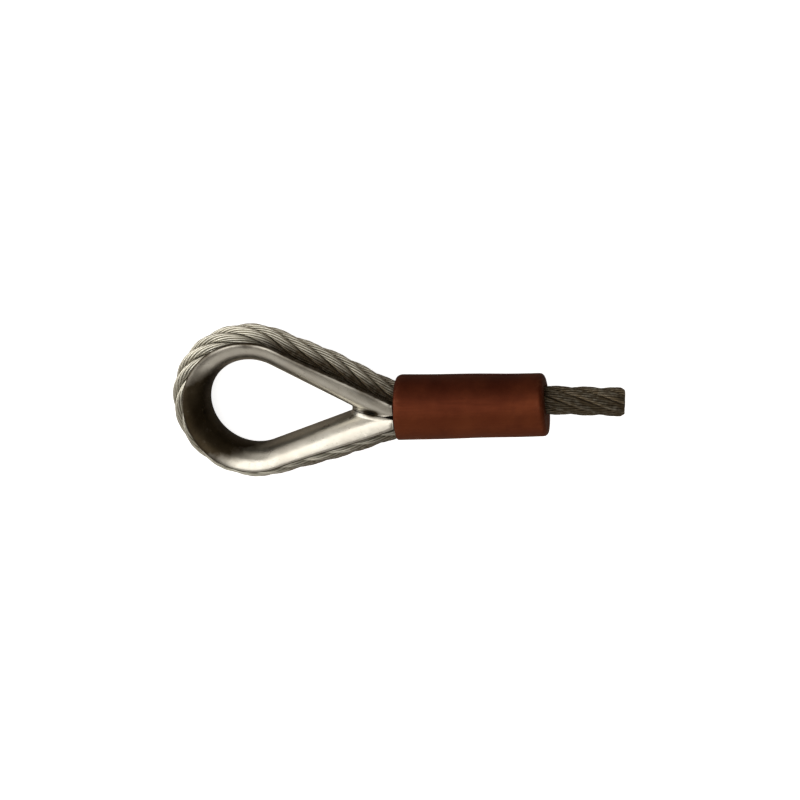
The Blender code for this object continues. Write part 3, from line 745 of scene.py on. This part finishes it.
def ferrule_skin():
    """Rings along x. Radius = taper, less the rounding of the ends, plus the two flash lines."""
    turn = np.linspace(0, 0.5 * math.pi, 13)
    mouth_x = MOUTH_ROUND * (1 - np.cos(turn))
    outlet_x = FERRULE_LENGTH - OUTLET_ROUND * (1 - np.cos(turn))
    body = np.linspace(mouth_x[-1], outlet_x[-1], 72)[1:-1]
    x = np.concatenate([mouth_x, body, outlet_x[::-1]])[:, None]
    mouth = np.concatenate([1 - np.sin(turn), np.zeros(len(body) + 13)])[:, None]
    outlet = np.concatenate([np.zeros(len(body) + 13), (1 - np.sin(turn))[::-1]])[:, None]
    angle = np.linspace(0, 2 * math.pi, AROUND, endpoint=False)[None, :]
    radius = FERRULE_R - TAPER * x / FERRULE_LENGTH - MOUTH_IN * mouth - OUTLET_ROUND * outlet
    seam = np.exp(-((np.abs(np.sin(angle)) / 0.035) ** 2)) * (1 - mouth) * (1 - outlet)
    swell = 0.00006 * np.sin(x / 0.0045 + 2 * np.cos(angle))
    swell = swell + 0.00004 * np.cos(3 * angle + x / 0.011)
    radius = radius + FLASH * seam + swell * (1 - mouth) * (1 - outlet)
    y = radius * np.cos(angle) - MOUTH_SHIFT * mouth
    z = radius * np.sin(angle)
    half = FERRULE_LENGTH / 2
    oblique = OBLIQUE * smooth_step((x - half) / (half - OUTLET_ROUND))
    ends = smooth_step(1 - x / 0.0035)
    ends = np.maximum(ends, smooth_step((x - FERRULE_LENGTH + 0.0035) / 0.0035))
    edge = np.broadcast_to(ends, y.shape)
    return np.stack([x - oblique * y, y, z], axis=-1), edge


def leg_channel(name, live):
    """A solid as wide as one pressed leg and a little more, through the ferrule."""
    half = ALONG[-1] / 2
    mine = (ALONG < half) if live else (ALONG > half)
    stop = FERRULE_LENGTH + 0.003 if live else TAIL_STOP + 0.0002
    inside = np.flatnonzero(mine & (WAY[:, 0] > -0.002) & (WAY[:, 0] < stop))
    stations = rope_stations(0.001, ALONG[inside[0]], ALONG[inside[-1]])
    angle = np.linspace(0, 2 * math.pi, 80, endpoint=False)
    reach = ROPE_R + CHANNEL_GAP
    shape = (len(stations[0]), len(angle))
    across = np.broadcast_to(reach * np.cos(angle), shape)
    up = np.broadcast_to(reach * np.sin(angle), shape)
    mesh = tube_mesh(name, bend_to_place(stations, across, up)[None])
    tool = bpy.data.objects.new(name, mesh)
    bpy.context.scene.collection.objects.link(tool)
    return tool


def carved(mesh, tools):
    """The mesh with the tools' solids taken out of it, as a new mesh; the tools are removed.

    The many-sided faces round the cuts are split into triangles of even shape.
    """
    blank = bpy.data.objects.new("blank", mesh)
    bpy.context.scene.collection.objects.link(blank)
    for tool in tools:
        cut = blank.modifiers.new(tool.name, "BOOLEAN")
        cut.operation, cut.solver, cut.object = "DIFFERENCE", "EXACT", tool
    finished = blank.evaluated_get(bpy.context.evaluated_depsgraph_get())
    result = bpy.data.meshes.new_from_object(finished)
    for thing in (blank, *tools):
        bpy.data.objects.remove(thing, do_unlink=True)
    cut_faces = bmesh.new()
    cut_faces.from_mesh(result)
    many_sided = [face for face in cut_faces.faces if len(face.verts) > 4]
    bmesh.ops.triangulate(cut_faces, faces=many_sided, ngon_method="BEAUTY")
    cut_faces.to_mesh(result)
    cut_faces.free()
    return result


skin, edge = ferrule_skin()
solid = tube_mesh("ferrule_blank", (MOUTH + skin)[None], {"edge": edge})
solid = carved(solid, [leg_channel("live_way", True), leg_channel("tail_way", False)])
solid.name = "swaged_ferrule"
ferrule = add_piece(solid, ["ferrule"], COPPER, 35)

# %% [markdown]
# ## The table it lies on
# The ferrule is fatter than the thimble, so on a table the eye leans down until the thimble's
# crown touches. The floor is a plane through those two places: the bottom of the ferrule at its
# mouth and the bottom rim of the thimble at the crown. It is a plain pale sheet, and it gives the
# metal a darker, warmer surface to mirror than the eye sees.

# %% Floor
def floor_finish():
    """White to the eye, a dim warm sheet to the mirrors."""
    material, tree, shader = new_finish("pale_floor", 0.0, 0.9)
    shader.inputs["Base Color"].default_value = (0.9, 0.9, 0.9, 1.0)
    shader.inputs["Emission Color"].default_value = (1.0, 1.0, 1.0, 1.0)
    shader.inputs["Emission Strength"].default_value = 0.85
    shader.inputs["Specular IOR Level"].default_value = 0.0
    dim = add_node(tree, "ShaderNodeBsdfDiffuse", {"Color": (0.36, 0.32, 0.27, 1.0)})
    seen = add_node(tree, "ShaderNodeLightPath").outputs["Is Camera Ray"]
    both = {0: seen, 1: dim.outputs["BSDF"], 2: shader.outputs["BSDF"]}
    mix = add_node(tree, "ShaderNodeMixShader", both)
    tree.links.new(mix.outputs["Shader"], tree.nodes["Material Output"].inputs["Surface"])
    return material


FLOOR_REACH = 6.0
rest_a = MOUTH + np.array([MOUTH_ROUND, 0.0, -FERRULE_R])
rest_b = np.array([thimble_low[0], rest_a[1], thimble_low[2]])
lean = math.atan2(rest_b[2] - rest_a[2], rest_a[0] - rest_b[0])
corner = np.array([(-1, -1), (1, -1), (1, 1), (-1, 1)]) * FLOOR_REACH
floor_points = [(x, y, rest_a[2] - (x - rest_a[0]) * math.tan(lean)) for x, y in corner]
floor_mesh = bpy.data.meshes.new("floor")
floor_mesh.from_pydata(floor_points, [], [(0, 1, 2, 3)])
floor_mesh.materials.append(floor_finish())
floor = bpy.data.objects.new("floor", floor_mesh)
bpy.context.scene.collection.objects.link(floor)
print("the eye leans by", round(math.degrees(lean), 2), "degrees")

# %% [markdown]
# ## Light
# Bright metal shows its surroundings more than its own colour, so the light is built as large soft
# panels with dark between them. The main panel hangs overhead, a little to the back and left, and
# gives the broad white band along the tail leg. A weaker one stands low in front for the grey on
# the inner face of the live leg, one on the left lights the rope round the crown, and a faint one
# at the back fills the inner edge of the tail leg. The right side stays dark.

# %% Lights and surroundings
def soft_panel(name, toward, distance, width, height, power, tint=(1.0, 0.98, 0.94)):
    """An area light at a distance in a direction from the eye's middle, facing it."""
    light = bpy.data.lights.new(name, "AREA")
    light.shape, light.size, light.size_y, light.energy = "RECTANGLE", width, height, power
    light.color = tint
    lamp = bpy.data.objects.new(name, light)
    aim = Vector(toward).normalized()
    lamp.location = Vector((-0.02, 0.0, 0.01)) + aim * distance
    lamp.rotation_mode = "QUATERNION"
    lamp.rotation_quaternion = aim.to_track_quat("Z", "Y")
    bpy.context.scene.collection.objects.link(lamp)
    return lamp


soft_panel("main_panel", (-0.26, 0.31, 1.0), 1.0, 0.95, 1.0, 5.6)
soft_panel("front_panel", (-0.1, -1.0, 0.6), 1.0, 1.6, 0.8, 1.7)
soft_panel("left_panel", (-1.0, 0.30, 0.45), 0.8, 0.7, 0.6, 2.8)
soft_panel("back_panel", (-0.5, 0.85, 0.18), 0.8, 0.8, 0.5, 0.5)
world = bpy.data.worlds.new("studio")
world.use_nodes = True
bpy.context.scene.world = world
air = world.node_tree
backdrop = air.nodes["Background"]
backdrop.inputs["Color"].default_value = (0.20, 0.18, 0.155, 1.0)
bright = add_node(air, "ShaderNodeBackground", {"Color": (1.0, 1.0, 1.0, 1.0), "Strength": 1.0})
seen = add_node(air, "ShaderNodeLightPath").outputs["Is Camera Ray"]
both = add_node(air, "ShaderNodeMixShader", {0: seen, 1: backdrop.outputs[0], 2: bright.outputs[0]})
air.links.new(both.outputs["Shader"], air.nodes["World Output"].inputs["Surface"])
bpy.context.scene.view_settings.view_transform = "Standard"

# %% [markdown]
# ## Camera
# The object is seen from nearly above, from the side of the live leg and a little from the right,
# so its thickness shows along the lower leg. The camera is turned slightly about its own line of
# sight. Its place is a direction and a distance from the middle of the ferrule's mouth.

# %% Camera
def look_from(tilt_y, tilt_x, roll, distance, pixels_per_mm, aim_px):
    """A camera on a line from the mouth: its three axes, its lens and a small shift of the frame."""
    ty, tx = math.radians(tilt_y), math.radians(tilt_x)
    back = Vector((math.sin(tx) * math.cos(ty), math.sin(ty), math.cos(tx) * math.cos(ty)))
    right = Vector((0, 1, 0)).cross(back).normalized()
    top = back.cross(right)
    c, s = math.cos(math.radians(roll)), math.sin(math.radians(roll))
    right, top = c * right + s * top, -s * right + c * top
    data = bpy.data.cameras.new("camera")
    data.sensor_width = 36.0
    data.lens = pixels_per_mm * distance * 1000 * 36.0 / 800
    data.shift_x, data.shift_y = (400 - aim_px[0]) / 800, (aim_px[1] - 400) / 800
    data.clip_start, data.clip_end = 0.01, 20.0
    camera = bpy.data.objects.new("camera", data)
    spot = Vector(MOUTH) + back * distance
    axes = Matrix((right, top, back)).transposed().to_4x4()
    camera.matrix_world = Matrix.Translation(spot) @ axes
    bpy.context.scene.collection.objects.link(camera)
    bpy.context.scene.camera = camera
    return camera


camera = look_from(18.37, 10.19, -4.39, 0.7104, 2.89, (397.8, 407.4))
print("camera at", [round(v, 3) for v in camera.location], "lens", round(camera.data.lens, 1))

# %% [markdown]
# ## The end
# The view layer is brought up to date. The visual model may not outgrow the CAD model.

# %% Finish
bpy.context.view_layer.update()
